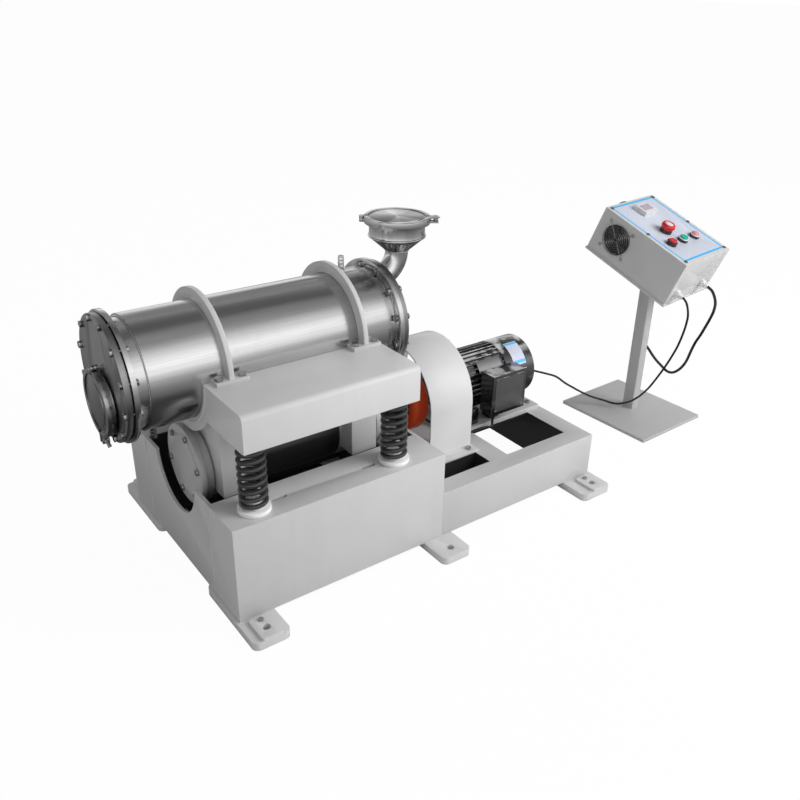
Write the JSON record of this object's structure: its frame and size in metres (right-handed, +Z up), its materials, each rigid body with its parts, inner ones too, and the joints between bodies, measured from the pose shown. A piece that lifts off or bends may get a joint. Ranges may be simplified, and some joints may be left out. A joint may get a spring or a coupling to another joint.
{
  "type": "vibrating ball mill",
  "caption": "Vibrating ball mill: jacketed drum with hopper on a sprung saddle, shaft exciter, motor and coupling on a welded base, tilted control box on a stand.",
  "frame": {"origin": "centre of the rectangle of four foot bolt holes, on the floor under the feet", "axes": "+Z up, +X from the discharge end of the drum towards the motor and the control stand, -Y the near side in the picture"},
  "size_m": [1.6889, 0.7, 0.6982],
  "materials": {
    "base_paint": "satin light grey paint",
    "guard_paint": "satin light grey paint",
    "white_plastic": "matte white",
    "zinc_screw": "bright zinc",
    "motor_black": "gloss black paint",
    "copper_core": "bare windings",
    "bearing_steel": "ground steel",
    "dark_casting": "dark machined casting",
    "orange_rubber": "orange-red rubber",
    "spring_black": "gloss black spring steel",
    "machined_steel": "turned steel",
    "exciter_paint": "light grey paint",
    "brushed_drum": "brushed stainless",
    "dark_cover": "dark brushed steel",
    "white_gasket": "white gasket",
    "spun_steel": "spun stainless",
    "clamp_steel": "cast stainless",
    "stand_grey": "satin grey paint",
    "box_paint": "satin pale grey paint",
    "panel_print": "pale lavender panel with a sky blue border",
    "display_black": "gloss black",
    "red_plastic": "gloss red",
    "green_plastic": "gloss green",
    "black_plastic": "matte black",
    "cord_black": "satin black"
  },
  "bodies": {
    "base": {"foot_plates": "base_paint", "front_box": "base_paint", "rear_frame": "base_paint", "lower_spring_seats": "white_plastic", "coupling_guard": "guard_paint", "frame_screws": "zinc_screw", "motor_plate": "base_paint", "motor_frame": "motor_black", "motor_core": "copper_core", "motor_bearings": "bearing_steel", "motor_fan_cover": "motor_black", "terminal_box": "motor_black", "control_stand": "stand_grey", "control_box": "box_paint", "back_plate": "stand_grey", "control_panel": "panel_print", "panel_indicators": "display_black", "button_bezels": "clamp_steel", "inverter": "display_black", "fan_frame": "black_plastic", "fan_guard": "zinc_screw", "cable_glands": "white_plastic", "motor_cable": "cord_black", "supply_cord": "cord_black", "supply_coil": "cord_black", "mains_plug": "black_plastic"},
    "mill": {"springs_near": "spring_black", "springs_far": "spring_black", "upper_spring_seats": "white_plastic", "saddle": "base_paint", "exciter_housing": "machined_steel", "exciter_covers": "exciter_paint", "exciter_bearings": "bearing_steel", "mill_drum": "brushed_drum", "end_covers": "dark_cover", "gaskets": "white_gasket", "mill_bolts": "zinc_screw", "grinding_balls": "bearing_steel", "hold_down_straps": "base_paint", "feed_hopper": "brushed_drum"},
    "exciter_rotor": {"exciter_shaft": "bearing_steel", "eccentric_weights": "dark_casting", "exciter_hub": "dark_casting"},
    "motor_spindle": {"motor_rotor": "bearing_steel", "motor_hub": "dark_casting", "coupling_tyre": "orange_rubber"},
    "hopper_cover": {"hopper_lid": "spun_steel", "hopper_clamp_a": "clamp_steel"},
    "hopper_half_b": {"hopper_clamp_b": "clamp_steel"},
    "hopper_bolt": {"hopper_swing_bolt": "zinc_screw"},
    "hopper_nut": {"hopper_wing_nut": "zinc_screw"},
    "discharge_cover": {"discharge_cap": "spun_steel", "discharge_clamp_a": "clamp_steel"},
    "discharge_half_b": {"discharge_clamp_b": "clamp_steel"},
    "discharge_bolt": {"discharge_swing_bolt": "zinc_screw"},
    "discharge_nut": {"discharge_wing_nut": "zinc_screw"},
    "stop_head": {"stop_button": "red_plastic"},
    "red_key": {"red_button": "red_plastic"},
    "green_key": {"green_button": "green_plastic"},
    "fan_wheel": {"fan_rotor": "black_plastic"}
  },
  "joints": [
    {"name": "mill_bounce", "type": "slide", "parent": "base", "child": "mill", "axis": [0, 0, 1], "range_m": [-0.008, 0.008], "stiffness_N_per_m": 80000, "springref_m": 0.01547, "deforming": ["springs_near", "springs_far"]},
    {"name": "exciter_spin", "type": "hinge", "parent": "mill", "child": "exciter_rotor", "pos_m": [-0.2, 0, 0.241], "axis": [1, 0, 0], "continuous": true},
    {"name": "motor_spin", "type": "hinge", "parent": "base", "child": "motor_spindle", "pos_m": [0.25, 0, 0.241], "axis": [1, 0, 0], "continuous": true},
    {"name": "hopper_cover_swing", "type": "hinge", "parent": "mill", "child": "hopper_cover", "pos_m": [0.00404, 0.04548, 0.691], "axis": [0, 0, -1], "range_deg": [0, 80]},
    {"name": "hopper_half_swing", "type": "hinge", "parent": "mill", "child": "hopper_half_b", "pos_m": [0.00404, 0.04548, 0.691], "axis": [0, 0, 1], "range_deg": [0, 80]},
    {"name": "hopper_bolt_swing", "type": "hinge", "parent": "hopper_cover", "child": "hopper_bolt", "pos_m": [0.13625, -0.05441, 0.691], "axis": [0, 0, -1], "range_deg": [0, 100]},
    {"name": "hopper_nut_turn", "type": "hinge", "parent": "hopper_bolt", "child": "hopper_nut", "pos_m": [0.13625, -0.05441, 0.691], "axis": [0.5736, 0.8192, 0], "continuous": true},
    {"name": "discharge_cover_swing", "type": "hinge", "parent": "mill", "child": "discharge_cover", "pos_m": [-0.6289, 0, 0.5033], "axis": [1, 0, 0], "range_deg": [0, 80]},
    {"name": "discharge_half_swing", "type": "hinge", "parent": "mill", "child": "discharge_half_b", "pos_m": [-0.6289, 0, 0.5033], "axis": [-1, 0, 0], "range_deg": [0, 80]},
    {"name": "discharge_bolt_swing", "type": "hinge", "parent": "discharge_cover", "child": "discharge_bolt", "pos_m": [-0.6289, 0.006, 0.3497], "axis": [1, 0, 0], "range_deg": [0, 100]},
    {"name": "discharge_nut_turn", "type": "hinge", "parent": "discharge_bolt", "child": "discharge_nut", "pos_m": [-0.6289, 0.006, 0.3497], "axis": [0, -1, 0], "continuous": true},
    {"name": "stop_press", "type": "slide", "parent": "base", "child": "stop_head", "axis": [-0.0474, 0.3601, -0.9317], "range_m": [0, 0.005], "stiffness_N_per_m": 600, "springref_m": -0.003},
    {"name": "red_press", "type": "slide", "parent": "base", "child": "red_key", "axis": [-0.0474, 0.3601, -0.9317], "range_m": [0, 0.0035], "stiffness_N_per_m": 600, "springref_m": -0.003},
    {"name": "green_press", "type": "slide", "parent": "base", "child": "green_key", "axis": [-0.0474, 0.3601, -0.9317], "range_m": [0, 0.0035], "stiffness_N_per_m": 600, "springref_m": -0.003},
    {"name": "fan_spin", "type": "hinge", "parent": "base", "child": "fan_wheel", "pos_m": [0.80508, -0.02555, 0.53865], "axis": [0.9914, 0.1305, 0], "continuous": true}
  ],
  "couplings": [
    {"joint": "motor_spin", "follows": "exciter_spin", "ratio": 1}
  ]
}
